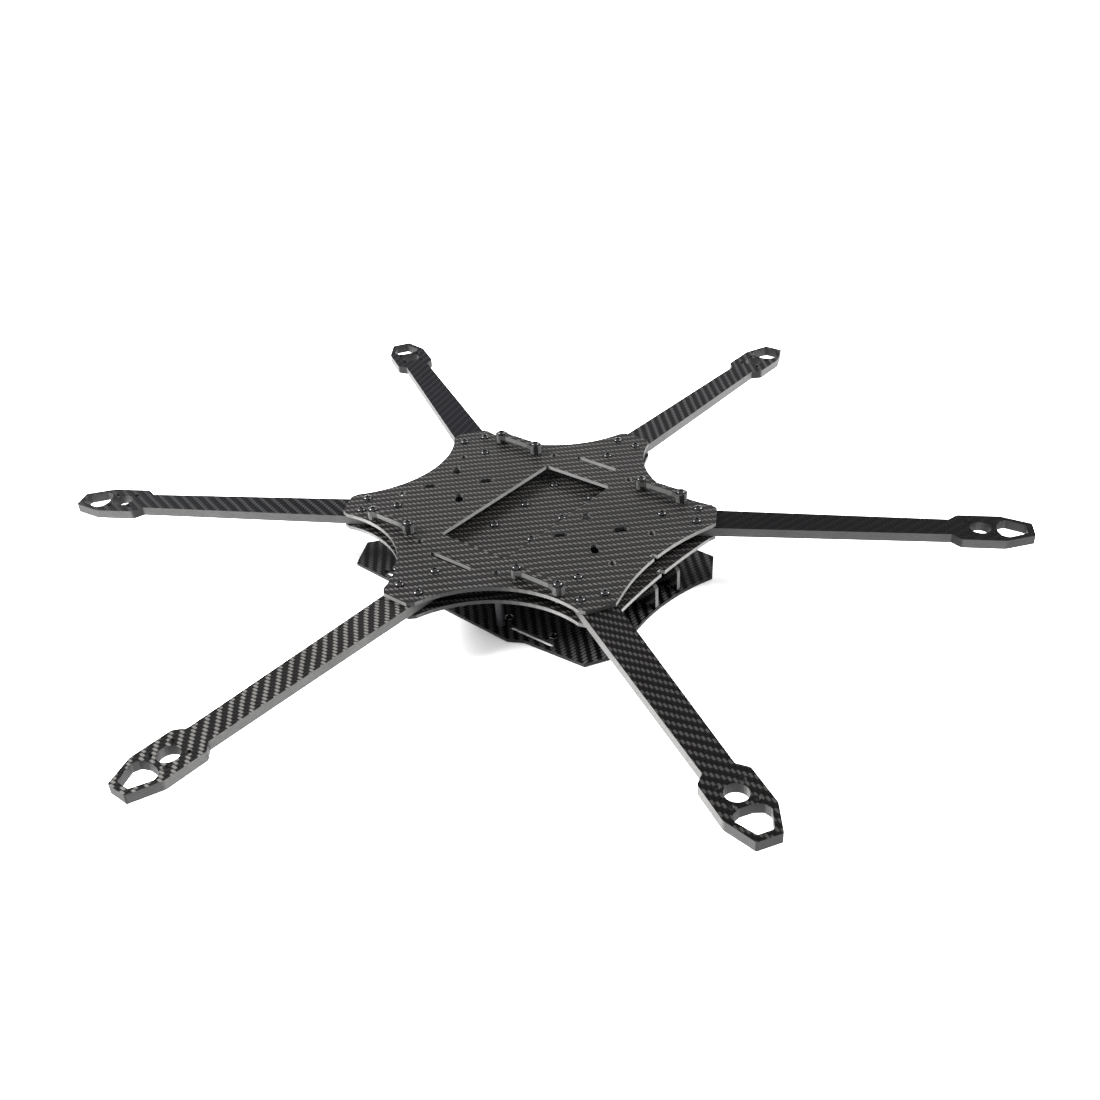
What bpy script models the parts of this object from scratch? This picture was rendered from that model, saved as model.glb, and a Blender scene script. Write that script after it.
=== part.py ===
"""Bare carbon-fibre hexacopter frame: three plates, six arms, strap bridges, standoffs and screws.

Metres, +Z up, +X forward, +Y left. Z = 0 is the underside of the lower plate.
"""

from math import acos, asin, cos, hypot, pi, radians, sin, sqrt, tan

import bmesh
import bpy
from mathutils.geometry import tessellate_polygon

MM = 0.001
GAP = 0.3  # clearance left between two pieces that touch

# Thicknesses and lengths, in millimetres.
LOWER_T = 2.0
MID_T = 2.5
ARM_T = 5.8
TOP_T = 2.5
STANDOFF_L = 25.4
BRIDGE_H = 5.9
BEAM_T = 3.2
UPRIGHT_T = 3.0

# Heights of each layer's underside.
LOWER_Z = 0.0
STANDOFF_Z = LOWER_Z + LOWER_T + GAP
MID_Z = STANDOFF_Z + STANDOFF_L + GAP
ARM_Z = MID_Z + MID_T + GAP
TOP_Z = ARM_Z + ARM_T + GAP
BRIDGE_Z = TOP_Z + TOP_T + GAP

# Arms, measured outward from the frame's centre and across the arm.
ARM_NAMES = ("front_left", "left", "rear_left", "rear_right", "right", "front_right")
ARM_FIRST_ANGLE = 30.0
ARM_ROOT = 76.0
ARM_ROOT_HALF = 11.3
ARM_NECK = 257.5
ARM_NECK_HALF = 8.6
MOTOR_AT = 275.0
PAD_HALF = 14.0
PAD_FROM = 262.8
PAD_TO = 288.0
ARM_TIP = 305.4
ARM_TIP_HALF = 6.8
MOTOR_BORE_R = 6.2
MOTOR_SCREW_OFF = 6.72
MOTOR_SCREW_R = 1.7
WINDOW_SIDE = ((284.4, 3.5), (286.3, 8.0), (290.4, 9.6), (301.6, 4.3))
ROOT_CHAMFER = 2.0

# Plates.
LOBE_TIP = 118.5
LOBE_HALF = 12.6
LOBE_CHAMFER = 3.4
SIDE_ARC_DEPTH = 87.6
TOP_FRONT_DEPTH = 98.5
MID_FRONT_DEPTH = 103.6
NOTCH_HALF = 1.6
NOTCH_DEEP = 3.4
OPENING_X = 26.0
OPENING_Y = 52.0
OPENING_CORNER_R = 1.5
ACCESS_HOLE_R = 2.3  # over each standoff's screw

# Slots, each given end to end and across.
STRAP_SLOT_Y = 72.0
STRAP_SLOT = (32.5, 3.4)
DECK_SLOT_GROUPS_X = (-60.0, 50.0)  # four diagonal slots round each of these
DECK_SLOT_OUT = 13.1
DECK_SLOT = (10.8, 5.0)
LOWER_SLOT_X = 53.0
LOWER_SLOT_Y = 64.0
LOWER_SLOT = (34.0, 3.4)

# Half of the lower plate's edge, from the front corner round the left side to the rear corner.
LOWER_SIDE = ((107.3, 48.2), (95.6, 68.3), (53.0, 70.3), (43.5, 75.2), (-92.5, 67.8), (-105.3, 46.0))

# Fasteners: M3 throughout.
HOLE_R = 1.9
HOLE_SIDES = 8  # holes that a head or a foot covers
SHANK_R = 1.5
HEAD_R = 2.85
HEAD_H = 1.65
SOCKET_FLAT = 1.0
SOCKET_DEEP = 1.1
SCREW_SIDES = 12
ARM_SCREWS = ((106.9, 7.5), (106.9, -7.5), (85.0, 0.0))
ARM_SCREW_L = 15.0
BRIDGE_SCREW_L = 11.6

# Strap bridges, beside the opening: one piece each, a beam between two feet that screws go down through.
BRIDGE_X = 59.4
BRIDGE_Y = 62.0
BRIDGE_HALF_PITCH = 15.25
BAR_END_R = 4.0
BAR_WAIST_HALF = 2.3
BAR_FLARE = 0.45  # radians left off each end's arc, where it runs into the waist
FOOT_R = 3.85

# Standoffs between the lower and middle plates, one under each small hole of the top plate.
STANDOFF_R = 2.5
STANDOFF_BORE_R = 1.25
STANDOFFS = {
    "front_left": (81.5, 20.0),
    "side_left_front": (31.2, 66.0),
    "side_left_rear": (-31.2, 66.0),
    "rear_left": (-82.0, 30.0),
    "rear_right": (-82.0, -30.0),
    "side_right_rear": (-31.2, -66.0),
    "side_right_front": (31.2, -66.0),
    "front_right": (81.5, -20.0),
}

# Two upright plates in the nose, keyed into the lower and middle plates.
UPRIGHT_FRONT = 98.0
UPRIGHT_BACK = 52.0
UPRIGHT_LOW_TOP = 18.3
UPRIGHT_STEP_X = 84.0
UPRIGHT_CORNER_R = 4.0
UPRIGHTS = {"nose_upright_inner": -0.2, "nose_upright_outer": 23.0}
UPRIGHT_TABS_LOW = ((58.0, 66.0), (80.0, 88.0))
UPRIGHT_TAB_HIGH = (58.0, 68.0)
TAB_SHORT = 0.1  # how far each tab stops short of its plate's outer face

# Accessory screws sit in the lower plate, and a 30.5 mm grid of them in the middle plate.
LOWER_SCREW_X = (65.0, 31.0)
LOWER_SCREW_Y = 58.0
GRID_X = 15.25
GRID_Y = (-45.75, -15.25, 15.25, 45.75)


def circle(cx, cy, radius, sides=12):
    """A ring of points on the circle."""
    turn = 2 * pi / sides
    return [(cx + radius * cos(turn * i), cy + radius * sin(turn * i)) for i in range(sides)]


def slot(cx, cy, length, width, angle=0.0, sides=5):
    """A round-ended slot; length is end to end."""
    radius = width / 2
    reach = length / 2 - radius
    points = []
    for end, start in ((1, -pi / 2), (-1, pi / 2)):
        for i in range(sides + 1):
            turn = start + pi * i / sides
            points.append((end * reach + radius * cos(turn), radius * sin(turn)))
    return [placed(p, angle, (cx, cy)) for p in points]


def placed(point, angle, at=(0.0, 0.0)):
    """The point turned by angle (degrees) about the origin, then moved."""
    turn = radians(angle)
    x = point[0] * cos(turn) - point[1] * sin(turn)
    y = point[0] * sin(turn) + point[1] * cos(turn)
    return (x + at[0], y + at[1])


def rounded(corners, radii, sides=3):
    """The polygon with each corner replaced by an arc of its own radius (0 keeps it sharp)."""
    points = []
    count = len(corners)
    for i, (corner, radius) in enumerate(zip(corners, radii)):
        if radius == 0:
            points.append(corner)
            continue
        before = corners[i - 1]
        after = corners[(i + 1) % count]
        to_before = unit(corner, before)
        to_after = unit(corner, after)
        half = acos(max(-1.0, min(1.0, to_before[0] * to_after[0] + to_before[1] * to_after[1]))) / 2
        reach = radius / tan(half)
        bisector = unit((0, 0), (to_before[0] + to_after[0], to_before[1] + to_after[1]))
        centre = (
            corner[0] + bisector[0] * radius / sin(half),
            corner[1] + bisector[1] * radius / sin(half),
        )
        first = (corner[0] + to_before[0] * reach - centre[0], corner[1] + to_before[1] * reach - centre[1])
        last = (corner[0] + to_after[0] * reach - centre[0], corner[1] + to_after[1] * reach - centre[1])
        sweep = pi - 2 * half
        for step in range(sides + 1):
            share = step / sides
            a = sin((1 - share) * sweep) / sin(sweep)
            b = sin(share * sweep) / sin(sweep)
            points.append((centre[0] + a * first[0] + b * last[0], centre[1] + a * first[1] + b * last[1]))
    return points


def unit(start, end):
    """Unit vector from start to end."""
    x = end[0] - start[0]
    y = end[1] - start[1]
    size = hypot(x, y)
    return (x / size, y / size)


def hollow_arc(angle, depth, reach, half, sides=20):
    """Inner points of the concave arc centred on angle, which dips to depth between two lobe corners."""
    dip = reach - depth
    radius = (half * half + dip * dip) / (2 * dip)
    centre = depth + radius
    spread = asin(half / radius)
    points = []
    for i in range(1, sides):
        turn = spread * (2 * i / sides - 1)
        points.append(placed((centre - radius * cos(turn), radius * sin(turn)), angle))
    return points


def hexagon_plate_outline(front_depth):
    """Six chamfered lobes over the arms, with concave arcs between them and a notch in the nose."""
    side_at = LOBE_TIP - LOBE_CHAMFER
    reach = side_at * cos(pi / 6) + LOBE_HALF * sin(pi / 6)
    half = side_at * sin(pi / 6) - LOBE_HALF * cos(pi / 6)
    tip_half = LOBE_HALF - LOBE_CHAMFER
    lobe = ((side_at, -LOBE_HALF), (LOBE_TIP, -tip_half), (LOBE_TIP, tip_half), (side_at, LOBE_HALF))
    points = []
    for i in range(6):
        lobe_angle = ARM_FIRST_ANGLE + 60 * i
        points += [placed(p, lobe_angle) for p in lobe]
        depth = front_depth if i == 5 else SIDE_ARC_DEPTH
        arc = hollow_arc(lobe_angle + 30, depth, reach, half)
        if i == 5:
            arc = [p for p in arc if abs(p[1]) > 2 * NOTCH_HALF]
            inner = front_depth - NOTCH_DEEP
            notch = (
                (front_depth, -NOTCH_HALF),
                (inner, -NOTCH_HALF),
                (inner, NOTCH_HALF),
                (front_depth, NOTCH_HALF),
            )
            before = [p for p in arc if p[1] < 0]
            after = [p for p in arc if p[1] > 0]
            arc = before + list(notch) + after
        points += arc
    return points


def lower_plate_outline():
    """Lobed at the front and rear corners, nearly straight along each side, with a dipped nose and tail."""
    side = list(LOWER_SIDE)
    nose = hollow_arc(0, TOP_FRONT_DEPTH, side[0][0], side[0][1])
    tail = hollow_arc(180, SIDE_ARC_DEPTH, -side[-1][0], side[-1][1])
    mirrored = [(x, -y) for x, y in reversed(side)]
    return side + tail + mirrored + nose


def arm_outline():
    """Tapering bar that flares into the motor pad and closes to a blunt tip."""
    half = [
        (ARM_ROOT, ARM_ROOT_HALF - ROOT_CHAMFER),
        (ARM_ROOT + ROOT_CHAMFER, ARM_ROOT_HALF),
        (ARM_NECK, ARM_NECK_HALF),
        (PAD_FROM, PAD_HALF),
        (PAD_TO, PAD_HALF),
        (ARM_TIP, ARM_TIP_HALF),
    ]
    right = [(x, -y) for x, y in half]
    corners = right + list(reversed(half))
    radii_right = (0, 0, 1.5, 3.0, 6.0, 1.0)
    return rounded(corners, radii_right + tuple(reversed(radii_right)))


def arm_window():
    """Lightening window between the motor bore and the tip."""
    half = list(WINDOW_SIDE)
    right = [(x, -y) for x, y in half]
    radii_right = (2.0, 1.5, 1.5, 1.5)
    return rounded(right + list(reversed(half)), radii_right + tuple(reversed(radii_right)), 2)


def bridge_outline():
    """Plan of a strap bridge's beam: a round end over each foot and a narrower waist."""
    spread = asin(BAR_WAIST_HALF / BAR_END_R)
    steps = 10
    points = []
    for end in (1, -1):
        for i in range(steps + 1):
            turn = (pi - spread - BAR_FLARE) * (2 * i / steps - 1)
            x = end * (BRIDGE_HALF_PITCH + BAR_END_R * cos(turn))
            points.append((x, end * BAR_END_R * sin(turn)))
        x = BRIDGE_HALF_PITCH - BAR_END_R - 1.5
        points.append((end * x, end * BAR_WAIST_HALF))
        points.append((-end * x, end * BAR_WAIST_HALF))
    return points


def upright_outline():
    """Side view: low rounded nose, taller behind, with tabs that key into both plates."""
    high = MID_Z - GAP
    low = STANDOFF_Z
    corners = [(UPRIGHT_BACK, low)]
    radii = [0]
    for start, end in UPRIGHT_TABS_LOW:
        corners += [(start, low), (start, LOWER_Z + TAB_SHORT), (end, LOWER_Z + TAB_SHORT), (end, low)]
        radii += [0, 0, 0, 0]
    start, end = UPRIGHT_TAB_HIGH
    corners += [
        (UPRIGHT_FRONT, low),
        (UPRIGHT_FRONT, UPRIGHT_LOW_TOP),
        (UPRIGHT_STEP_X, UPRIGHT_LOW_TOP),
        (UPRIGHT_STEP_X - (high - UPRIGHT_LOW_TOP), high),
        (end, high),
        (end, MID_Z + MID_T - TAB_SHORT),
        (start, MID_Z + MID_T - TAB_SHORT),
        (start, high),
        (UPRIGHT_BACK, high),
    ]
    radii += [0, UPRIGHT_CORNER_R, 3.0, 2.0, 0, 0, 0, 0, 2.0]
    return rounded(corners, radii, 5)


def tab_slots(spans):
    """Rectangular slots that clear the upright plates' tabs by the usual gap."""
    found = []
    for y in UPRIGHTS.values():
        for start, end in spans:
            found.append(
                [
                    (start - GAP, y - GAP),
                    (end + GAP, y - GAP),
                    (end + GAP, y + UPRIGHT_T + GAP),
                    (start - GAP, y + UPRIGHT_T + GAP),
                ]
            )
    return found


def arm_screw_places():
    """(arm name, number, x, y) of every screw that clamps an arm."""
    found = []
    for i, name in enumerate(ARM_NAMES):
        for number, at in enumerate(ARM_SCREWS, 1):
            found.append((name, number, *placed(at, ARM_FIRST_ANGLE + 60 * i)))
    return found


def bridge_places():
    """(name, x, y) of each strap bridge's middle."""
    return [
        ("front_left", BRIDGE_X, BRIDGE_Y),
        ("rear_left", -BRIDGE_X, BRIDGE_Y),
        ("rear_right", -BRIDGE_X, -BRIDGE_Y),
        ("front_right", BRIDGE_X, -BRIDGE_Y),
    ]


def bridge_screw_places():
    """(name, number, x, y) of the two screws through each strap bridge."""
    found = []
    for name, x, y in bridge_places():
        found.append((name, 1, x - BRIDGE_HALF_PITCH, y))
        found.append((name, 2, x + BRIDGE_HALF_PITCH, y))
    return found


def prism(name, outline, holes, low, high, material, upright_at=None):
    """Extrudes an outline with holes. upright_at stands it in the XZ plane, from that Y."""
    loops = [list(outline)] + [list(h) for h in holes]
    flat = [p for loop in loops for p in loop]
    triangles = tessellate_polygon([[(x, y, 0.0) for x, y in loop] for loop in loops])
    bm = bmesh.new()
    layers = []
    for level in (low, high):
        if upright_at is None:
            row = [bm.verts.new((x * MM, y * MM, level * MM)) for x, y in flat]
        else:
            row = [bm.verts.new((x * MM, (upright_at + level) * MM, y * MM)) for x, y in flat]
        layers.append(row)
    for a, b, c in triangles:
        bm.faces.new((layers[0][a], layers[0][b], layers[0][c]))
        bm.faces.new((layers[1][c], layers[1][b], layers[1][a]))
    first = 0
    for loop in loops:
        count = len(loop)
        for i in range(count):
            j = first + (i + 1) % count
            k = first + i
            bm.faces.new((layers[0][k], layers[0][j], layers[1][j], layers[1][k]))
        first += count
    return finished(name, bm, material)


def bridge(name, x, y, material):
    """Strap bridge: two round feet joined by a beam, open underneath, with a screw hole down each foot."""
    top = BRIDGE_Z + BRIDGE_H
    under = top - BEAM_T
    ends = (x - BRIDGE_HALF_PITCH, x + BRIDGE_HALF_PITCH)
    beam = [(x + dx, y + dy) for dx, dy in bridge_outline()]
    feet = [circle(end, y, FOOT_R, 16) for end in ends]
    bores = [circle(end, y, HOLE_R, HOLE_SIDES) for end in ends]
    bm = bmesh.new()

    def ring(loop, level):
        return [bm.verts.new((px * MM, py * MM, level * MM)) for px, py in loop]

    def cap(rings):
        flat = [vert for row in rings for vert in row]
        for corners in tessellate_polygon([[vert.co for vert in row] for row in rings]):
            bm.faces.new([flat[i] for i in corners])

    def wall(low, high):
        for i in range(len(low)):
            j = (i + 1) % len(low)
            bm.faces.new((low[i], low[j], high[j], high[i]))

    beam_low = ring(beam, under)
    beam_high = ring(beam, top)
    feet_low = [ring(foot, BRIDGE_Z) for foot in feet]
    feet_high = [ring(foot, under) for foot in feet]
    bores_low = [ring(bore, BRIDGE_Z) for bore in bores]
    bores_high = [ring(bore, top) for bore in bores]
    cap([beam_high] + bores_high)
    cap([beam_low] + feet_high)
    wall(beam_low, beam_high)
    for foot_low, foot_high, bore_low, bore_high in zip(feet_low, feet_high, bores_low, bores_high):
        cap([foot_low, bore_low])
        wall(foot_low, foot_high)
        wall(bore_low, bore_high)
    return finished(name, bm, material)


def finished(name, bm, material):
    """Turns the bmesh into an object: normals outward, smooth across shallow angles."""
    bmesh.ops.recalc_face_normals(bm, faces=bm.faces)
    mesh = bpy.data.meshes.new(name)
    bm.to_mesh(mesh)
    bm.free()
    mesh.shade_smooth()
    mesh.set_sharp_from_angle(angle=radians(35))
    return shown(name, mesh, material)


def shown(name, mesh, material):
    """Links an object for the mesh; the material goes on the mesh once."""
    if not mesh.materials:
        mesh.materials.append(material)
    obj = bpy.data.objects.new(name, mesh)
    bpy.context.scene.collection.objects.link(obj)
    return obj


def lathe(name, rings, material):
    """Revolves rings of (radius function, height) from one capped end to the other."""
    bm = bmesh.new()
    rows = []
    for radius_at, height in rings:
        row = []
        for i in range(SCREW_SIDES):
            turn = 2 * pi * i / SCREW_SIDES
            radius = radius_at(turn)
            row.append(bm.verts.new((radius * cos(turn) * MM, radius * sin(turn) * MM, height * MM)))
        rows.append(row)
    for upper, lower in zip(rows, rows[1:]):
        for i in range(SCREW_SIDES):
            j = (i + 1) % SCREW_SIDES
            bm.faces.new((upper[i], upper[j], lower[j], lower[i]))
    bm.faces.new(rows[0])
    bm.faces.new(rows[-1])
    return finished(name, bm, material)


def socket_radius(turn):
    """Distance from the axis to a hexagon whose corners lie at multiples of 60 degrees."""
    return SOCKET_FLAT / cos(turn % (pi / 3) - pi / 6)


def button_screw(name, length, material):
    """Button-head screw; its head seats at the origin and its shank runs down."""
    rings = [(socket_radius, HEAD_H - SOCKET_DEEP), (socket_radius, HEAD_H)]
    for radius, height in ((1.8, 1.0), (2.55, 0.65), (HEAD_R, 0.0)):
        rings.append((lambda turn, r=radius: r, HEAD_H * height))
    rings.append((lambda turn: SHANK_R, 0.0))
    rings.append((lambda turn: SHANK_R, -length))
    return lathe(name, rings, material)


def tube(name, x, y, low, high, radius, bore, sides, material):
    """Round standoff with a bore through it."""
    return prism(name, circle(x, y, radius, sides), [circle(x, y, bore, HOLE_SIDES)], low, high, material)


def make_material(name, colour, metallic, roughness):
    """Principled material."""
    material = bpy.data.materials.new(name)
    material.use_nodes = True
    shader = material.node_tree.nodes["Principled BSDF"]
    shader.inputs["Base Color"].default_value = (*colour, 1.0)
    shader.inputs["Metallic"].default_value = metallic
    shader.inputs["Roughness"].default_value = roughness
    return material


def screws(prefix, places, length, seat, material):
    """One object per place, all sharing the first one's mesh."""
    mesh = None
    for name, number, x, y in places:
        label = f"{prefix}_{name}_{number}"
        if mesh is None:
            obj = button_screw(label, length, material)
            mesh = obj.data
        else:
            obj = shown(label, mesh, material)
        obj.location = (x * MM, y * MM, seat * MM)


def build():
    """Models every piece."""
    for obj in list(bpy.data.objects):
        bpy.data.objects.remove(obj, do_unlink=True)

    carbon = make_material("carbon_fibre", (0.035, 0.035, 0.037), 0.0, 0.45)
    steel = make_material("black_steel", (0.012, 0.012, 0.013), 0.9, 0.25)
    aluminium = make_material("black_anodised", (0.03, 0.03, 0.035), 0.8, 0.4)

    arm_screw_holes = [circle(x, y, HOLE_R, HOLE_SIDES) for _, _, x, y in arm_screw_places()]
    bridge_holes = [circle(x, y, HOLE_R, HOLE_SIDES) for _, _, x, y in bridge_screw_places()]
    standoff_holes = [circle(x, y, HOLE_R, HOLE_SIDES) for x, y in STANDOFFS.values()]

    opening = rounded(
        [(-OPENING_X, -OPENING_Y), (OPENING_X, -OPENING_Y), (OPENING_X, OPENING_Y), (-OPENING_X, OPENING_Y)],
        (OPENING_CORNER_R,) * 4,
    )
    top_holes = [opening, slot(0, STRAP_SLOT_Y, *STRAP_SLOT), slot(0, -STRAP_SLOT_Y, *STRAP_SLOT)]
    for group_x in DECK_SLOT_GROUPS_X:
        for turn in (45, 135, 225, 315):
            x, y = placed((DECK_SLOT_OUT * sqrt(2), 0), turn, (group_x, 0))
            top_holes.append(slot(x, y, *DECK_SLOT, turn, 4))
    top_holes += arm_screw_holes + bridge_holes
    top_holes += [circle(x, y, ACCESS_HOLE_R) for x, y in STANDOFFS.values()]
    top = hexagon_plate_outline(TOP_FRONT_DEPTH)
    prism("top_plate", top, top_holes, TOP_Z, TOP_Z + TOP_T, carbon)

    mid_holes = arm_screw_holes + standoff_holes + tab_slots((UPRIGHT_TAB_HIGH,))
    mid_holes += [circle(x, y, HOLE_R, HOLE_SIDES) for x in (-GRID_X, GRID_X) for y in GRID_Y]
    mid = hexagon_plate_outline(MID_FRONT_DEPTH)
    prism("mid_plate", mid, mid_holes, MID_Z, MID_Z + MID_T, carbon)

    lower_holes = standoff_holes + tab_slots(UPRIGHT_TABS_LOW)
    for side in (-1, 1):
        for x in (-LOWER_SLOT_X, LOWER_SLOT_X):
            lower_holes.append(slot(x, side * LOWER_SLOT_Y, *LOWER_SLOT))
        for x in LOWER_SCREW_X:
            lower_holes.append(circle(x, side * LOWER_SCREW_Y, HOLE_R, HOLE_SIDES))
            lower_holes.append(circle(-x, side * LOWER_SCREW_Y, HOLE_R, HOLE_SIDES))
    prism("lower_plate", lower_plate_outline(), lower_holes, LOWER_Z, LOWER_Z + LOWER_T, carbon)

    arm_holes = [circle(at, off, HOLE_R, HOLE_SIDES) for at, off in ARM_SCREWS]
    arm_holes.append(circle(MOTOR_AT, 0, MOTOR_BORE_R, 24))
    for dx in (-MOTOR_SCREW_OFF, MOTOR_SCREW_OFF):
        for dy in (-MOTOR_SCREW_OFF, MOTOR_SCREW_OFF):
            arm_holes.append(circle(MOTOR_AT + dx, dy, MOTOR_SCREW_R))
    arm_holes.append(arm_window())
    for i, name in enumerate(ARM_NAMES):
        turn = ARM_FIRST_ANGLE + 60 * i
        outline = [placed(p, turn) for p in arm_outline()]
        holes = [[placed(p, turn) for p in hole] for hole in arm_holes]
        prism(f"arm_{name}", outline, holes, ARM_Z, ARM_Z + ARM_T, carbon)

    for name, x, y in bridge_places():
        bridge(f"strap_bridge_{name}", x, y, carbon)

    for name, (x, y) in STANDOFFS.items():
        low = STANDOFF_Z
        high = STANDOFF_Z + STANDOFF_L
        tube(f"standoff_{name}", x, y, low, high, STANDOFF_R, STANDOFF_BORE_R, 16, aluminium)

    for name, y in UPRIGHTS.items():
        prism(name, upright_outline(), [], 0.0, UPRIGHT_T, carbon, upright_at=y)

    screws("screw_arm", arm_screw_places(), ARM_SCREW_L, TOP_Z + TOP_T + GAP, steel)
    screws("screw_bridge", bridge_screw_places(), BRIDGE_SCREW_L, BRIDGE_Z + BRIDGE_H + GAP, steel)


build()
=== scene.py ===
"""Looks for the bare carbon-fibre hexacopter frame: weave, cut edges, fasteners, light and camera.

Metres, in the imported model's own frame: +X forward, +Y left, +Z up, the lower plate's underside at Z = 0.
"""

from math import cos, pi, radians, sin

import bmesh
import bpy
from mathutils import Euler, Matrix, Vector


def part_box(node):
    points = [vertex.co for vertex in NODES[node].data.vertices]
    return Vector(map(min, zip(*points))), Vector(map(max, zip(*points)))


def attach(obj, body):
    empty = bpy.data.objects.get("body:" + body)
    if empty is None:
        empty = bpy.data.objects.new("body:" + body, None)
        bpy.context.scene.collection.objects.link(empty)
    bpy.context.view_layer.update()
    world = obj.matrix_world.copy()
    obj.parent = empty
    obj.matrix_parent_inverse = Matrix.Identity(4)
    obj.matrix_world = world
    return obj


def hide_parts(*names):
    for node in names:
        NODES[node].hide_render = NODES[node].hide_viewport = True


MM = 0.001
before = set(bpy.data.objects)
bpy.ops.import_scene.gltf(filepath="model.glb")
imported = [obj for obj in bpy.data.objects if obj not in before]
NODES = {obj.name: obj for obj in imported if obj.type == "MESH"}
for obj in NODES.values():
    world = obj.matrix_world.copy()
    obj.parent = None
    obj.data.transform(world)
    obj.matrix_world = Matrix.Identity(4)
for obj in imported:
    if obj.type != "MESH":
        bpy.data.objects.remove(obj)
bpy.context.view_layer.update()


def top_of(node):
    """Height of a node's upper face."""
    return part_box(node)[1].z


def bottom_of(node):
    """Height of a node's underside."""
    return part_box(node)[0].z


def centre_of(node):
    """Plan centre of a node."""
    low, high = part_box(node)
    return (low.x + high.x) / 2, (low.y + high.y) / 2


# ---------------------------------------------------------------- sizes

TOW = 2.0 * MM  # width of one tow of the twill
PLY = 0.25 * MM  # thickness of one layer of cloth
BEVEL = 0.18 * MM  # broken edge that the router leaves
BEVEL_FROM = 40  # smallest angle between two faces that gets one, in degrees

SIDES = 48  # sides of a turned shape
SMOOTH_BELOW = 32  # angle between two faces up to which they are shaded as one, in degrees
HEAD_R = 2.85 * MM  # M3 button head
HEAD_H = 1.65 * MM
DOME_FROM = 0.28 * MM  # height at which the head's dome starts
DOME_TIP = 0.1 * MM  # radius that the dome would close to
DOME_PARTS = 10  # steps of the whole dome, of which the first ones are outside the socket
DOME_RINGS = 8
SOCKET_FLAT = 1.0 * MM
SOCKET_DEEP = 1.05 * MM
SOCKET_MOUTH = 1.32 * MM
SHANK_R = 1.5 * MM
THREAD_PITCH = 0.5 * MM
THREAD_DEPTH = 0.16 * MM
THREAD_FROM = 0.6 * MM  # plain shank under the head
THREAD_PROFILE = ((0.10, 0.0), (0.45, 1.0), (0.60, 1.0), (0.95, 0.0))  # shares of the pitch and of the depth
TIP_CHAMFER = 0.35 * MM
SHORT_SCREW = 6.0 * MM  # length of the screws down into the standoffs
DECK_SCREW_OUT = 1.5 * MM  # how far the grid's screws stand out under the middle plate
FLUSH_SCREW_IN = 0.1 * MM  # how far the lower plate's screws stop short of its underside

NUT_FLAT = 2.75 * MM
NUT_CORNER = NUT_FLAT * 1.1336  # radius to which the corners are cut back
NUT_H = 2.4 * MM
NUT_CHAMFER = 0.35 * MM
NUT_BORE = SHANK_R + 0.06 * MM
NUT_MOUTH = SHANK_R + 0.3 * MM
NUT_TURN = 0.4  # a nut's angle as a share of its screw's
SEAT = 0.02 * MM  # clearance under a screw head

POST_CHAMFER = 0.25 * MM
POST_BORE = 1.25 * MM
POST_MOUTH = POST_BORE + 0.15 * MM
GROOVE_IN = 1.6 * MM  # from each end of a standoff to its groove
GROOVE_DEEP = 0.14 * MM
GROOVE_TOP = 0.35 * MM  # half its width at the surface
GROOVE_FLOOR = 0.2 * MM  # half its width at the bottom

ARM_ANGLES = {
    "front_left": 30, "left": 90, "rear_left": 150, "rear_right": 210, "right": 270, "front_right": 330,
}
GRID_X = 15.25 * MM
GRID_Y = (-45.75 * MM, -15.25 * MM, 15.25 * MM, 45.75 * MM)
LOWER_SCREWS = [(x * MM, y * MM) for x in (-65, -31, 31, 65) for y in (-58, 58)]


# ---------------------------------------------------------------- shader helper


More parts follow.
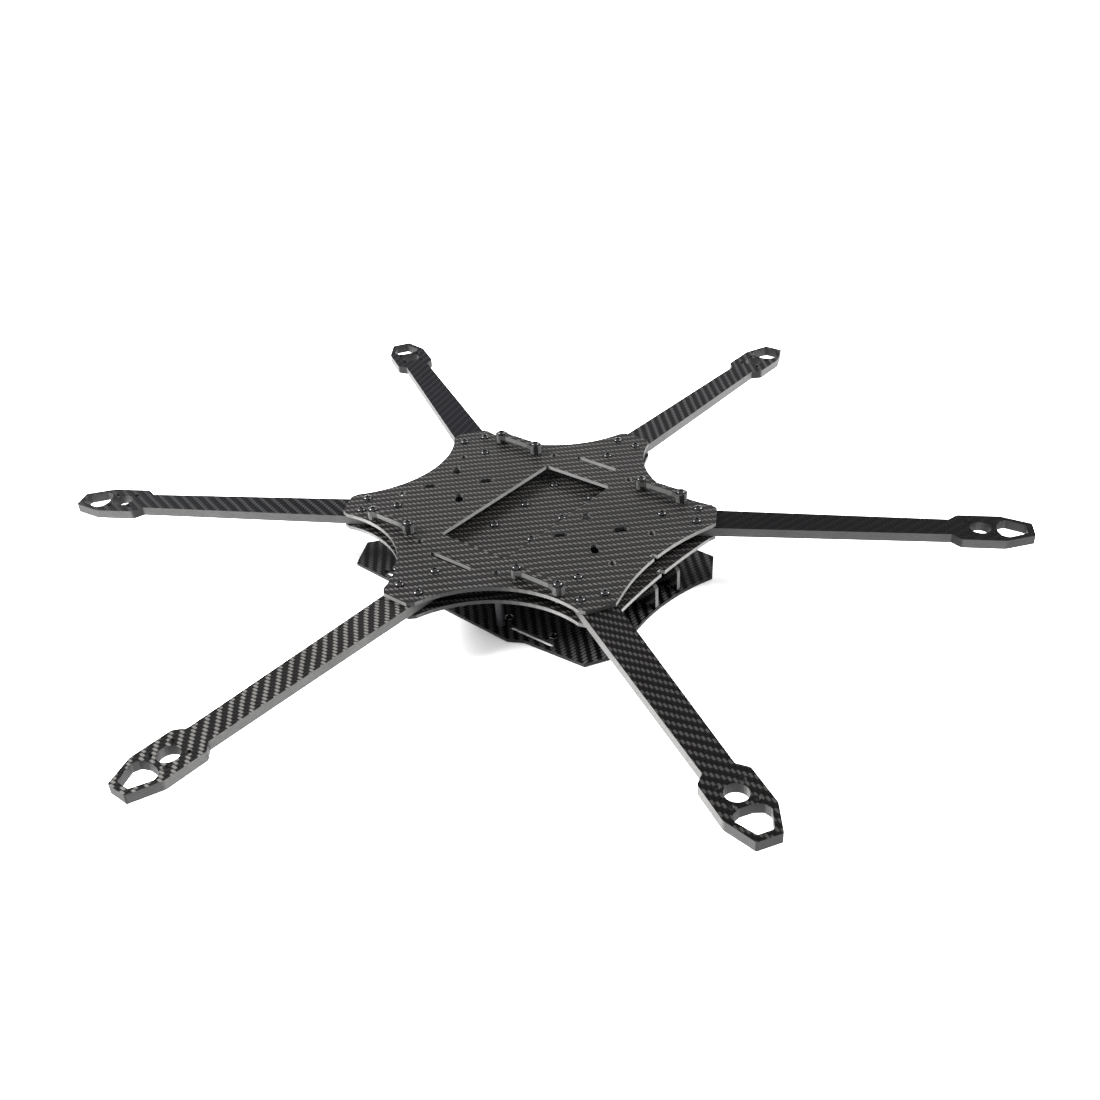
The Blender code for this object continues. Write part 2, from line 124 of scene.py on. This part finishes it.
class Shader:
    """Adds nodes to one material and hands back their output sockets."""

    def __init__(self, name):
        self.material = bpy.data.materials.new(name)
        self.material.use_nodes = True
        self.tree = self.material.node_tree
        self.surface = self.tree.nodes["Principled BSDF"]

    def put(self, value, socket):
        if isinstance(value, bpy.types.NodeSocket):
            self.tree.links.new(value, socket)
        else:
            socket.default_value = value

    def node(self, kind, **settings):
        made = self.tree.nodes.new(kind)
        for name, value in settings.items():
            setattr(made, name, value)
        return made

    def math(self, operation, a, b=0.0, c=0.0, clamp=False):
        made = self.node("ShaderNodeMath", operation=operation, use_clamp=clamp)
        for value, socket in zip((a, b, c), made.inputs):
            self.put(value, socket)
        return made.outputs[0]

    def vector(self, x, y, z=0.0):
        made = self.node("ShaderNodeCombineXYZ")
        for value, socket in zip((x, y, z), made.inputs):
            self.put(value, socket)
        return made.outputs[0]

    def split(self, vector):
        made = self.node("ShaderNodeSeparateXYZ")
        self.put(vector, made.inputs[0])
        return made.outputs

    def mix(self, share, a, b):
        """Mixes two numbers."""
        made = self.node("ShaderNodeMix", data_type="FLOAT")
        for value, index in ((share, 0), (a, 2), (b, 3)):
            self.put(value, made.inputs[index])
        return made.outputs[0]

    def mix_vector(self, share, a, b):
        made = self.node("ShaderNodeMix", data_type="VECTOR")
        for value, index in ((share, 0), (a, 4), (b, 5)):
            self.put(value, made.inputs[index])
        return made.outputs[1]

    def mix_colour(self, share, a, b, blend="MIX"):
        made = self.node("ShaderNodeMix", data_type="RGBA", blend_type=blend)
        for value, index in ((share, 0), (a, 6), (b, 7)):
            self.put((*value, 1.0) if isinstance(value, tuple) else value, made.inputs[index])
        return made.outputs[2]

    def ramp(self, value, low, high):
        """Smooth step from 0 where value is low to 1 where it is high."""
        made = self.node("ShaderNodeMapRange", interpolation_type="SMOOTHSTEP")
        for setting, socket in zip((value, low, high), made.inputs):
            self.put(setting, socket)
        return made.outputs[0]

    def product(self, first, *others):
        """Product of two or more numbers."""
        for other in others:
            first = self.math("MULTIPLY", first, other)
        return first

    def spread(self, value, low, high):
        """Stretches a value of 0 to 1 over low to high."""
        return self.math("MULTIPLY_ADD", value, high - low, low)

    def scaled(self, *pairs):
        """Vector of up to three coordinates, each multiplied by its own factor."""
        return self.vector(*[self.math("MULTIPLY", value, factor) for value, factor in pairs])

    def grey(self, value):
        return self.vector(value, value, value)

    def noise(self, vector, scale, detail=2.0, rough=0.5):
        made = self.node("ShaderNodeTexNoise")
        self.put(vector, made.inputs["Vector"])
        made.inputs["Scale"].default_value = scale
        made.inputs["Detail"].default_value = detail
        made.inputs["Roughness"].default_value = rough
        return made.outputs["Fac"]

    def bump(self, height, distance, strength, normal=None):
        made = self.node("ShaderNodeBump")
        made.inputs["Strength"].default_value = strength
        made.inputs["Distance"].default_value = distance
        self.put(height, made.inputs["Height"])
        if normal is not None:
            self.put(normal, made.inputs["Normal"])
        return made.outputs[0]

    def place(self):
        """Position in the model's frame."""
        return self.node("ShaderNodeTexCoord").outputs["Object"]

    def normal(self):
        return self.node("ShaderNodeTexCoord").outputs["Normal"]

    def set(self, **values):
        """Puts values or sockets on the Principled shader; names use _ for a space."""
        for name, value in values.items():
            socket = self.surface.inputs[name.replace("_", " ")]
            self.put((*value, 1.0) if isinstance(value, tuple) and len(value) == 3 else value, socket)


# ---------------------------------------------------------------- carbon fibre

GAP_AND_SHADE_COLOUR = (0.0010, 0.0009, 0.0010)  # resin between two tows, and painted shade down each tow's sides and ends
EDGE_TINT = (1.0, 0.985, 0.975)  # sawn plies
TWILL = 4.0  # tows in one repeat, over two and under two
STRAY = 0.45  # how far a tow strays to each side of straight, in tow widths
CROWN_POWER = 2.4  # shape of a tow across its width
FLOAT_POWER = 2.6  # shape of a tow along the stretch where it lies on top
FILAMENT_ALONG = 0.35  # filament pattern, per tow width
FILAMENT_ACROSS = 9.0
FLAT_FROM = 0.86  # part of the normal square to the cloth, from which a face starts to count as woven
FLAT_TO = 0.94
CROSS_CUT = 0.12  # lightness of a cut across the fibres, as a share of one along them; the lighter cut along them is partly its own texture, partly painted sheen
CUT_SPECULAR = 0.18
FIBRE_ANISOTROPY = 0.85
WEAVE_DEEP = 0.10 * MM
CUT_DEEP = 0.04 * MM
COAT_DEEP = 0.05 * MM


def rounded(s, value, power):
    """Falls from 1 where value is 0 to 0 where it is 1 or -1; a higher power makes the top flatter."""
    return s.math("SUBTRACT", 1.0, s.math("POWER", s.math("ABSOLUTE", value), power), clamp=True)


def tow_coordinates(s, first, second, turn, hand):
    """Place in the cloth, counted in tow widths along its two directions."""
    x, y, z = s.split(s.place())
    stray_a = s.spread(s.noise(s.place(), 38.0, 1.0), -STRAY, STRAY)
    stray_b = s.spread(s.noise(s.vector(y, z, x), 31.0, 1.0), -STRAY, STRAY)
    a = s.math("MULTIPLY", first, cos(turn) / TOW)
    a = s.math("MULTIPLY_ADD", second, sin(turn) / TOW, a)
    b = s.math("MULTIPLY", first, -hand * sin(turn) / TOW)
    b = s.math("MULTIPLY_ADD", second, hand * cos(turn) / TOW, b)
    return s.math("ADD", a, stray_a), s.math("ADD", b, stray_b)


def twill(s, a, b, ends):
    """Twill of over two, under two. Returns 1 where a tow of the first direction lies on top, else 0; and the
    height of the cloth from 0 to 1. ends is how far a tow sinks where it goes under."""
    cell_a = s.math("FLOOR", a)
    cell_b = s.math("FLOOR", b)
    phase = s.math("FLOORED_MODULO", s.math("SUBTRACT", cell_a, cell_b), TWILL)
    over = s.math("LESS_THAN", phase, 1.5)  # steps 0 and 1 of the four
    across_first = s.spread(s.math("FRACT", b), -1.0, 1.0)
    across_second = s.spread(s.math("FRACT", a), -1.0, 1.0)
    run_first = s.math("FLOORED_MODULO", s.math("SUBTRACT", a, cell_b), TWILL)
    run_second = s.math("FLOORED_MODULO", s.math("SUBTRACT", b, cell_a), TWILL)
    side = s.mix(over, across_second, across_first)
    run = s.mix(over, s.math("SUBTRACT", run_second, 2.0), s.math("SUBTRACT", run_first, 1.0))
    crown = rounded(s, side, CROWN_POWER)
    return over, s.product(crown, s.spread(rounded(s, run, FLOAT_POWER), 1.0 - ends, 1.0))


def filaments(s, a, b, over):
    """Noise drawn out along the tow that lies on top."""
    along_first = s.scaled((a, FILAMENT_ALONG), (b, FILAMENT_ACROSS))
    along_second = s.scaled((a, FILAMENT_ACROSS), (b, FILAMENT_ALONG))
    return s.noise(s.mix_vector(over, along_second, along_first), 1.0, 3.0, 0.6)


def weave_colour(s, over, height, fibre, along, across):
    """Colour of the cloth: two sets of tows, uneven along their filaments, with dark resin between them. Each
    tow is painted lighter at its crown and darker down its sides and ends: painted glints and painted shade.
    """
    cloud = s.spread(s.noise(s.place(), 22.0, 3.0, 0.55), 0.75, 1.25)
    gain = s.grey(s.product(s.spread(fibre, 0.45, 1.55), cloud))
    tow = s.mix_colour(1.0, s.mix_colour(over, across, along), gain, "MULTIPLY")
    # Painted glint on each tow's crown, fading through painted shade to the resin colour at its sides and
    # ends.
    return s.mix_colour(s.ramp(height, 0.12, 0.85), GAP_AND_SHADE_COLOUR, tow)


def along_fibres(s, normal_x, normal_second, turn, long_fibres):
    """1 where a cut runs along the fibres and lays their sides bare, falling to 0 where it crosses
    them. That is square across with long_fibres, and otherwise at 45 degrees to both sets. It lightens
    those cuts, partly as their own texture and partly as painted sheen of the bare fibre sides."""
    facing_a = s.math("ADD", s.product(normal_x, cos(turn)), s.product(normal_second, sin(turn)))
    facing_b = s.math("SUBTRACT", s.product(normal_second, cos(turn)), s.product(normal_x, sin(turn)))
    if long_fibres:
        apart = s.product(facing_b, facing_b, facing_b)
    else:
        apart = s.math("SUBTRACT", s.product(facing_a, facing_a), s.product(facing_b, facing_b))
    squared = s.product(apart, apart)
    return s.product(squared, squared)


def cut_texture(s, first, second, depth):
    """Two noises for a cut edge: one that changes from ply to ply, and the fine grain of the fibres' ends."""
    layer = s.math("FLOOR", s.math("MULTIPLY_ADD", depth, 1 / PLY, 0.5))
    ply = s.noise(s.scaled((first, 420.0), (second, 420.0), (layer, 7.3)), 1.0, 2.0)
    grain = s.noise(s.scaled((first, 900.0), (second, 900.0), (depth, 9000.0)), 1.0, 2.0)
    return ply, grain


def cut_colour(s, ply, grain, along_grain_and_sheen, edge):
    """Colour of a cut edge; edge is its lightness where the cut runs along the fibres. edge is set piece by
    piece as painted light and shade, and the lighter cuts along the fibres are partly painted sheen.
    """
    worn = s.spread(s.noise(s.place(), 60.0, 3.0), 0.85, 1.45)
    shade = s.math("MULTIPLY_ADD", ply, 0.7, s.spread(grain, 0.15, 0.65))
    shade = s.product(shade, worn, s.spread(along_grain_and_sheen, CROSS_CUT * edge, edge))
    return s.mix_colour(1.0, EDGE_TINT, s.grey(shade), "MULTIPLY")


def in_plane(s, x, second, upright):
    """Direction in the laminate's plane, from its parts along X and along the plane's other axis."""
    return s.vector(x, 0.0, second) if upright else s.vector(x, second, 0.0)


def carbon(name, angle, along, across, hand=1, coat=0.0, upright=False, specular=0.35, gloss=0.34, ends=0.85,
           edge=0.18, long_fibres=False):
    """Twill laminate, level or upright in the XZ plane. along and across are the colours of its two sets of
    tows; where one set is lighter, that is painted sheen, as if it caught the light. angle is the direction
    of the first in degrees, and hand is the way the twill leans. edge is the lightness of the cut edges, set
    piece by piece as painted light and shade. With long_fibres most plies run in the first direction, so that
    only cuts along it are light, partly from their own texture and partly as painted sheen."""
    s = Shader(name)
    x, y, z = s.split(s.place())
    nx, ny, nz = s.split(s.normal())
    if upright:
        first, second, depth = x, z, y
        normal_second, normal_flat = nz, ny
    else:
        first, second, depth = x, y, z
        normal_second, normal_flat = ny, nz
    turn = radians(angle)
    is_flat = s.ramp(s.math("ABSOLUTE", normal_flat), FLAT_FROM, FLAT_TO)

    a, b = tow_coordinates(s, first, second, turn, hand)
    over, height = twill(s, a, b, ends)
    fibre = filaments(s, a, b, over)
    ply, grain = cut_texture(s, first, second, depth)
    # Cuts along the fibres are painted lighter: their own texture, with painted sheen.
    along_grain_and_sheen = along_fibres(s, nx, normal_second, turn, long_fibres)
    cut = cut_colour(s, ply, grain, along_grain_and_sheen, edge)
    s.set(Base_Color=s.mix_colour(is_flat, cut, weave_colour(s, over, height, fibre, along, across)))

    dust = s.noise(s.place(), 140.0, 3.0, 0.6)
    face_rough = s.math("MULTIPLY_ADD", fibre, 0.16, s.spread(dust, gloss - 0.13, gloss - 0.03))
    s.set(Roughness=s.mix(is_flat, s.spread(grain, 0.42, 0.62), face_rough))
    s.set(Specular_IOR_Level=s.mix(is_flat, CUT_SPECULAR, specular))
    s.set(Anisotropic=s.mix(is_flat, 0.0, FIBRE_ANISOTROPY))
    along_first = in_plane(s, cos(turn), sin(turn), upright)
    along_second = in_plane(s, -sin(turn), cos(turn), upright)
    s.set(Tangent=s.mix_vector(over, along_first, along_second))  # at right angles to the fibres on top

    relief = s.product(height, is_flat)
    rough_cut = s.product(s.math("ADD", ply, grain), s.math("SUBTRACT", 1.0, is_flat))
    s.set(Normal=s.bump(rough_cut, CUT_DEEP, 0.6, s.bump(relief, WEAVE_DEEP, 0.9)))
    if coat:
        s.set(Coat_Weight=s.product(is_flat, coat), Coat_Roughness=0.14, Coat_IOR=1.5)
        s.set(Coat_Normal=s.bump(relief, COAT_DEEP, 0.6))
    return s.material


# ---------------------------------------------------------------- metals


def machined(name, colour, metallic, roughness, wear_colour, ring_scale):
    """Turned or pressed metal with a dark finish: fine tool marks, smudges and slightly worn rims."""
    s = Shader(name)
    x, y, z = s.split(s.place())
    marks = s.noise(s.scaled((x, 150.0), (y, 150.0), (z, ring_scale)), 1.0, 2.0)
    smudge = s.noise(s.place(), 900.0, 3.0, 0.6)
    pointy = s.node("ShaderNodeNewGeometry").outputs["Pointiness"]
    worn = s.product(s.ramp(pointy, 0.52, 0.62), s.ramp(smudge, 0.4, 0.62))
    base = s.mix_colour(1.0, colour, s.grey(s.spread(smudge, 0.7, 1.3)), "MULTIPLY")
    s.set(Base_Color=s.mix_colour(worn, base, wear_colour), Metallic=metallic)
    smudged = s.spread(smudge, roughness - 0.14, roughness + 0.02)
    s.set(Roughness=s.math("MULTIPLY_ADD", marks, 0.12, smudged))
    s.set(Normal=s.bump(marks, 0.01 * MM, 0.5))
    return s.material


# ---------------------------------------------------------------- screws, nuts, standoffs


def finished(name, bm, material):
    """Turns the bmesh into a mesh with its normals outward and sharp edges kept."""
    bmesh.ops.recalc_face_normals(bm, faces=bm.faces)
    mesh = bpy.data.meshes.new(name)
    bm.to_mesh(mesh)
    bm.free()
    mesh.shade_smooth()
    mesh.set_sharp_from_angle(angle=radians(SMOOTH_BELOW))
    mesh.materials.append(material)
    return mesh


def revolve(rings):
    """A closed turned shape from rings of (radius, height); a radius may be a function of the angle."""
    bm = bmesh.new()
    rows = []
    for radius, height in rings:
        row = []
        for i in range(SIDES):
            turn = 2 * pi * i / SIDES
            r = radius(turn) if callable(radius) else radius
            row.append(bm.verts.new((r * cos(turn), r * sin(turn), height)))
        rows.append(row)
    for upper, lower in zip(rows, rows[1:]):
        for i in range(SIDES):
            j = (i + 1) % SIDES
            bm.faces.new((upper[i], upper[j], lower[j], lower[i]))
    bm.faces.new(rows[0])
    bm.faces.new(rows[-1])
    return bm


def revolve_hollow(rings):
    """A turned shape with a hole through it: its last ring is joined to its first one."""
    bm = revolve(rings)
    for face in [f for f in bm.faces if len(f.verts) == SIDES]:
        bm.faces.remove(face)
    bm.verts.ensure_lookup_table()
    first = bm.verts[:SIDES]
    last = bm.verts[-SIDES:]
    for i in range(SIDES):
        j = (i + 1) % SIDES
        bm.faces.new((first[j], first[i], last[i], last[j]))
    return bm


def hexagon(flat):
    """Distance from the axis to a hexagon's side, as a function of the angle."""
    return lambda turn: flat / cos(turn % (pi / 3) - pi / 6)


def dome(share):
    """Radius and height on the button head's dome, from its rim at 0 to its top at 1."""
    turn = share * pi / 2
    radius = (HEAD_R - DOME_TIP) * cos(turn) ** 0.75 + DOME_TIP
    return radius, DOME_FROM + (HEAD_H - DOME_FROM) * sin(turn) ** 0.9


def thread_rings(start, end):
    """Rings down a threaded shank, with a crest and a root at each pitch."""
    rings = []
    height = start
    while height > end + THREAD_PITCH:
        for down, depth in THREAD_PROFILE:
            rings.append((SHANK_R - depth * THREAD_DEPTH, height - down * THREAD_PITCH))
        height -= THREAD_PITCH
    rings.append((SHANK_R - 0.05 * MM, end + TIP_CHAMFER))
    rings.append((SHANK_R - TIP_CHAMFER, end))
    return rings


def button_screw_mesh(name, length, material):
    """Button head with a broached hex socket, seated at the origin, over a threaded shank."""
    socket_floor = HEAD_H - SOCKET_DEEP
    rings = [
        (0.35 * MM, socket_floor - 0.25 * MM),
        (hexagon(SOCKET_FLAT - 0.04 * MM), socket_floor),
        (hexagon(SOCKET_FLAT), socket_floor + 0.05 * MM),
        (hexagon(SOCKET_FLAT), HEAD_H - 0.14 * MM),
        (SOCKET_MOUTH, HEAD_H),
    ]
    for i in reversed(range(DOME_RINGS)):
        rings.append(dome(i / DOME_PARTS))
    rings += [(HEAD_R, 0.2 * MM), (HEAD_R, 0.08 * MM), (HEAD_R - 0.08 * MM, 0.0), (SHANK_R + 0.1 * MM, 0.0)]
    rings.append((SHANK_R, -0.1 * MM))
    rings += thread_rings(-THREAD_FROM, -length)
    return finished(name, revolve(rings), material)


def nut_mesh(name, material):
    """Hexagon nut hanging from the origin, with chamfered corners and a bore."""

    def body(turn):
        return min(hexagon(NUT_FLAT)(turn), NUT_CORNER)

    def end(turn):
        return min(hexagon(NUT_FLAT)(turn), NUT_FLAT + 0.02 * MM)

    rings = [(end, 0.0), (body, -NUT_CHAMFER), (body, NUT_CHAMFER - NUT_H), (end, -NUT_H)]
    rings += [(NUT_MOUTH, -NUT_H), (NUT_BORE, -NUT_H + 0.25 * MM), (NUT_BORE, -0.25 * MM), (NUT_MOUTH, 0.0)]
    return finished(name, revolve_hollow(rings), material)


def post_mesh(name, radius, length, material):
    """Round standoff from the origin up, with chamfered ends, a bore and a turned groove near each end."""
    rings = [(radius - POST_CHAMFER, 0.0), (radius, POST_CHAMFER)]
    for at in (GROOVE_IN, length - GROOVE_IN):
        rings += [(radius, at - GROOVE_TOP), (radius - GROOVE_DEEP, at - GROOVE_FLOOR)]
        rings += [(radius - GROOVE_DEEP, at + GROOVE_FLOOR), (radius, at + GROOVE_TOP)]
    rings += [(radius, length - POST_CHAMFER), (radius - POST_CHAMFER, length), (POST_MOUTH, length)]
    rings += [(POST_BORE, length - 0.2 * MM), (POST_BORE, 0.2 * MM), (POST_MOUTH, 0.0)]
    return finished(name, revolve_hollow(rings), material)


def countersunk_mesh(name, material):
    """Flat-headed screw, its head flush at the origin and facing down, its shank running up."""
    rings = [(0.3 * MM, 1.1 * MM), (hexagon(SOCKET_FLAT), 0.9 * MM), (hexagon(SOCKET_FLAT), 0.12 * MM)]
    rings += [(1.3 * MM, 0.0), (2.75 * MM, 0.0), (2.8 * MM, 0.12 * MM), (SHANK_R, 1.4 * MM)]
    rings += [(SHANK_R, 1.75 * MM), (1.1 * MM, 1.9 * MM)]
    return finished(name, revolve(rings), material)


def piece(name, mesh, place, turn=0.0):
    """One object that rides on the frame, with its mesh's own material."""
    obj = bpy.data.objects.new(name, mesh)
    bpy.context.scene.collection.objects.link(obj)
    obj.location = place
    obj.rotation_euler = (0.0, 0.0, turn)
    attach(obj, "root")
    return obj


def socket_turn(index):
    """Each screw stops at its own angle; the golden angle spreads them without a random draw."""
    return radians(137.5 * index)


def screw_meshes(steel):
    """One mesh for each length of button-head screw."""
    mid_thick = top_of("mid_plate") - bottom_of("mid_plate")
    lengths = {
        "long": top_of("top_plate") - bottom_of("screw_arm_left_1"),
        "bridge": top_of("strap_bridge_front_left") - bottom_of("screw_bridge_front_left_1"),
        "short": SHORT_SCREW,
        "deck": mid_thick + DECK_SCREW_OUT,
        "flush": top_of("lower_plate") - FLUSH_SCREW_IN,
    }
    return {kind: button_screw_mesh(f"screw_{kind}", length, steel) for kind, length in lengths.items()}


def build_cad_screws(meshes, nut):
    """Detailed screws in place of the plain CAD ones, each with its nut. Returns how many there are."""
    nodes = sorted(n for n in NODES if n.startswith("screw_"))
    for index, node in enumerate(nodes):
        x, y = centre_of(node)
        if node.startswith("screw_arm"):
            mesh, face = meshes["long"], top_of("top_plate")
            under = bottom_of("mid_plate")
        else:
            mesh, face = meshes["bridge"], top_of("strap_bridge_front_left")
            under = bottom_of("top_plate")
        turn = socket_turn(index)
        made = piece("fine_" + node, mesh, (x, y, face + SEAT), turn)
        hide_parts(node)
        piece(node.replace("screw", "nut"), nut, (x, y, under - SEAT), turn * NUT_TURN)
    return len(nodes)


def build_plate_screws(meshes, index):
    """Screws without a CAD node, in the middle plate's grid and the lower plate. Returns the next index."""
    for i, y in enumerate(GRID_Y):
        for j, x in enumerate((-GRID_X, GRID_X)):
            place = (x, y, top_of("mid_plate") + SEAT)
            piece(f"grid_screw_{i + 1}_{j + 1}", meshes["deck"], place, socket_turn(index))
            index += 1
    for i, (x, y) in enumerate(LOWER_SCREWS):
        place = (x, y, top_of("lower_plate") + SEAT)
        piece(f"lower_screw_{i + 1}", meshes["flush"], place, socket_turn(index))
        index += 1
    return index


def build_standoffs(meshes, steel, alloy, index):
    """Detailed standoffs in place of the plain CAD ones, with a screw into each end."""
    foot = top_of("lower_plate")
    low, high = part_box("standoff_front_left")
    post = post_mesh("standoff", (high.x - low.x) / 2, bottom_of("mid_plate") - foot, alloy)
    below = countersunk_mesh("screw_countersunk", steel)
    for node in sorted(n for n in NODES if n.startswith("standoff_")):
        x, y = centre_of(node)
        made = piece("fine_" + node, post, (x, y, foot))
        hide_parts(node)
        label = node.replace("standoff", "post_screw")
        upper = (x, y, top_of("mid_plate") + SEAT)
        piece(label + "_upper", meshes["short"], upper, socket_turn(index))
        piece(label + "_lower", below, (x, y, 0.0), socket_turn(index + 1))
        index += 2


# ---------------------------------------------------------------- plates and arms


# Colours of the tows in the two directions. Where one set is lighter than the other, that is painted sheen,
# as if that set caught the light; the tows themselves are one colour.
SHEEN_TOW = (0.0370, 0.0352, 0.0340)
MIDDLE = (0.0072, 0.0068, 0.0066)
DARK = (0.0015, 0.0014, 0.0015)
LOWER_SHEEN_TOW = (0.034, 0.033, 0.033)
PLATE_FINISH = {"coat": 0.06, "ends": 1.0, "specular": 0.04}  # top plate, middle plate and strap bridges

# Each arm's tows along it and across it, the lean of its twill, and the lightness of its cut edges. The
# lightness of the tows and of the cut edges differs from arm to arm as painted light and shade: the arms, and
# the set of tows, that catch the light are painted lighter.
ARM_WEAVES_AND_LIGHT = {
    "front_left": ((0.0024, 0.0024, 0.0028), (0.0019, 0.0019, 0.0023), 1, 0.045),
    "left": ((0.0030, 0.0030, 0.0034), (0.0270, 0.0270, 0.0285), 1, 0.070),
    "rear_left": ((0.0052, 0.0054, 0.0068), (0.0045, 0.0047, 0.0060), -1, 0.070),
    "rear_right": ((0.0036, 0.0037, 0.0042), (0.0190, 0.0194, 0.0206), -1, 0.070),
    "right": ((0.0070, 0.0067, 0.0067), (0.0620, 0.0600, 0.0575), 1, 0.080),
    "front_right": ((0.0190, 0.0183, 0.0175), (0.0028, 0.0027, 0.0027), 1, 0.115),
}


def dress(node, material):
    """Gives a CAD node its material and the router's broken edge."""
    obj = NODES[node]
    obj.data.materials.clear()
    obj.data.materials.append(material)
    weld = obj.modifiers.new("weld", "WELD")
    weld.merge_threshold = 0.001 * MM
    bevel = obj.modifiers.new("bevel", "BEVEL")
    bevel.width = BEVEL
    bevel.segments = 2
    bevel.limit_method = "ANGLE"
    bevel.angle_limit = radians(BEVEL_FROM)
    bevel.harden_normals = True


def dress_plates():
    """Gives each plate, arm, bridge and upright its own weave, with painted sheen on its tows and painted
    light and shade on its cut edges.
    """
    for node in ("top_plate", "mid_plate"):
        short_name = node.removesuffix("_plate")
        weave = carbon(f"carbon_{short_name}", 0, SHEEN_TOW, MIDDLE, **PLATE_FINISH)
        dress(node, weave)
    # The lower plate's cut edges are painted far darker than the upper plates': painted shade.
    lower = carbon("carbon_lower", 0, DARK, LOWER_SHEEN_TOW, -1, specular=0.03, ends=0.5, edge=0.018)
    dress("lower_plate", lower)
    for name, (along, across, hand, edge) in ARM_WEAVES_AND_LIGHT.items():
        weave = carbon(f"carbon_arm_{name}", ARM_ANGLES[name], along, across, hand, specular=0.03, gloss=0.45,
                       edge=edge, long_fibres=True)
        dress(f"arm_{name}", weave)
    bridge = carbon("carbon_bridge", 0, SHEEN_TOW, MIDDLE, edge=0.095, **PLATE_FINISH)
    for node in NODES:
        if node.startswith("strap_bridge_"):
            dress(node, bridge)
    upright = carbon("carbon_upright", 0, SHEEN_TOW, DARK, coat=0.2, upright=True, edge=0.12)
    for node in ("nose_upright_inner", "nose_upright_outer"):
        dress(node, upright)


# ---------------------------------------------------------------- stage, light, camera


FLOOR_HALF = 30.0
FLOOR_Z = -0.5 * MM
FLOOR_COLOUR = (0.93, 0.93, 0.93)

AROUND = 1.36  # strength of the white surroundings
CAMERA_SIDE = -49.0  # direction from the frame to the camera, in degrees from +X, anticlockwise
BOX_ASIDE = 100.0  # from there to each softbox, in degrees
BOX_UP = 40.0  # degrees above the floor
BOX_AWAY = 1.2
BOX_SIZE = 0.65
LEFT_WATTS = 49
RIGHT_WATTS = 29

CAMERA_PLACE = (0.444171, -0.492247, 0.429556)
CAMERA_TURN = (57.480588, 3.227111, 38.919619)  # degrees
CAMERA_LENS = 39.798  # mm, on a sensor 36 mm wide


def build_stage():
    """Pale floor, seen only from above, so that the underside can be looked at through it."""
    bm = bmesh.new()
    corners = ((-1, -1), (1, -1), (1, 1), (-1, 1))
    bm.faces.new([bm.verts.new((x * FLOOR_HALF, y * FLOOR_HALF, FLOOR_Z)) for x, y in corners])
    mesh = bpy.data.meshes.new("floor")
    bm.to_mesh(mesh)
    bm.free()
    s = Shader("floor_pale")
    s.set(Base_Color=FLOOR_COLOUR, Roughness=0.9, Specular_IOR_Level=0.0)
    behind = s.node("ShaderNodeNewGeometry").outputs["Backfacing"]
    clear = s.node("ShaderNodeBsdfTransparent").outputs[0]
    blend = s.node("ShaderNodeMixShader")
    s.put(behind, blend.inputs[0])
    s.put(s.surface.outputs[0], blend.inputs[1])
    s.put(clear, blend.inputs[2])
    s.put(blend.outputs[0], s.tree.nodes["Material Output"].inputs["Surface"])
    mesh.materials.append(s.material)
    floor = bpy.data.objects.new("floor", mesh)
    bpy.context.scene.collection.objects.link(floor)


def softbox(name, place, watts):
    """Round soft light aimed at the origin."""
    data = bpy.data.lights.new(name, "AREA")
    data.shape = "DISK"
    data.size = BOX_SIZE
    data.energy = watts
    obj = bpy.data.objects.new(name, data)
    bpy.context.scene.collection.objects.link(obj)
    obj.location = place
    obj.rotation_euler = (-Vector(place)).to_track_quat("-Z", "Y").to_euler()


def polar(azimuth, elevation, distance):
    """A point round the origin; azimuth is from +X, anticlockwise."""
    a = radians(azimuth)
    e = radians(elevation)
    return (distance * cos(a) * cos(e), distance * sin(a) * cos(e), distance * sin(e))


def build_light():
    """White surroundings and two round softboxes, one each side of the camera's line of sight."""
    world = bpy.data.worlds.new("studio")
    world.use_nodes = True
    back = world.node_tree.nodes["Background"]
    back.inputs["Color"].default_value = (1.0, 1.0, 1.0, 1.0)
    back.inputs["Strength"].default_value = AROUND
    bpy.context.scene.world = world
    softbox("box_left", polar(CAMERA_SIDE - BOX_ASIDE, BOX_UP, BOX_AWAY), LEFT_WATTS)
    softbox("box_right", polar(CAMERA_SIDE + BOX_ASIDE, BOX_UP, BOX_AWAY), RIGHT_WATTS)


def build_camera():
    """Camera in front of the nose's right side, above the frame, looking down at it."""
    data = bpy.data.cameras.new("camera")
    data.sensor_width = 36.0
    data.lens = CAMERA_LENS
    data.clip_start = 0.01
    data.clip_end = 100.0
    obj = bpy.data.objects.new("camera", data)
    bpy.context.scene.collection.objects.link(obj)
    obj.location = CAMERA_PLACE
    obj.rotation_euler = Euler([radians(degrees) for degrees in CAMERA_TURN], "XYZ")
    bpy.context.scene.camera = obj


def main():
    bpy.context.scene.view_settings.view_transform = "Standard"
    steel = machined("black_oxide_steel", (0.036, 0.036, 0.038), 1.0, 0.14, (0.07, 0.07, 0.07), 9000.0)
    nut_metal = machined("zinc_black_nut", (0.05, 0.05, 0.052), 0.9, 0.35, (0.18, 0.18, 0.18), 9000.0)
    alloy = machined("black_anodised_alloy", (0.022, 0.022, 0.025), 0.6, 0.36, (0.12, 0.12, 0.13), 12000.0)
    meshes = screw_meshes(steel)
    used = build_cad_screws(meshes, nut_mesh("nut", nut_metal))
    used = build_plate_screws(meshes, used)
    build_standoffs(meshes, steel, alloy, used)
    dress_plates()
    build_stage()
    build_light()
    build_camera()


main()
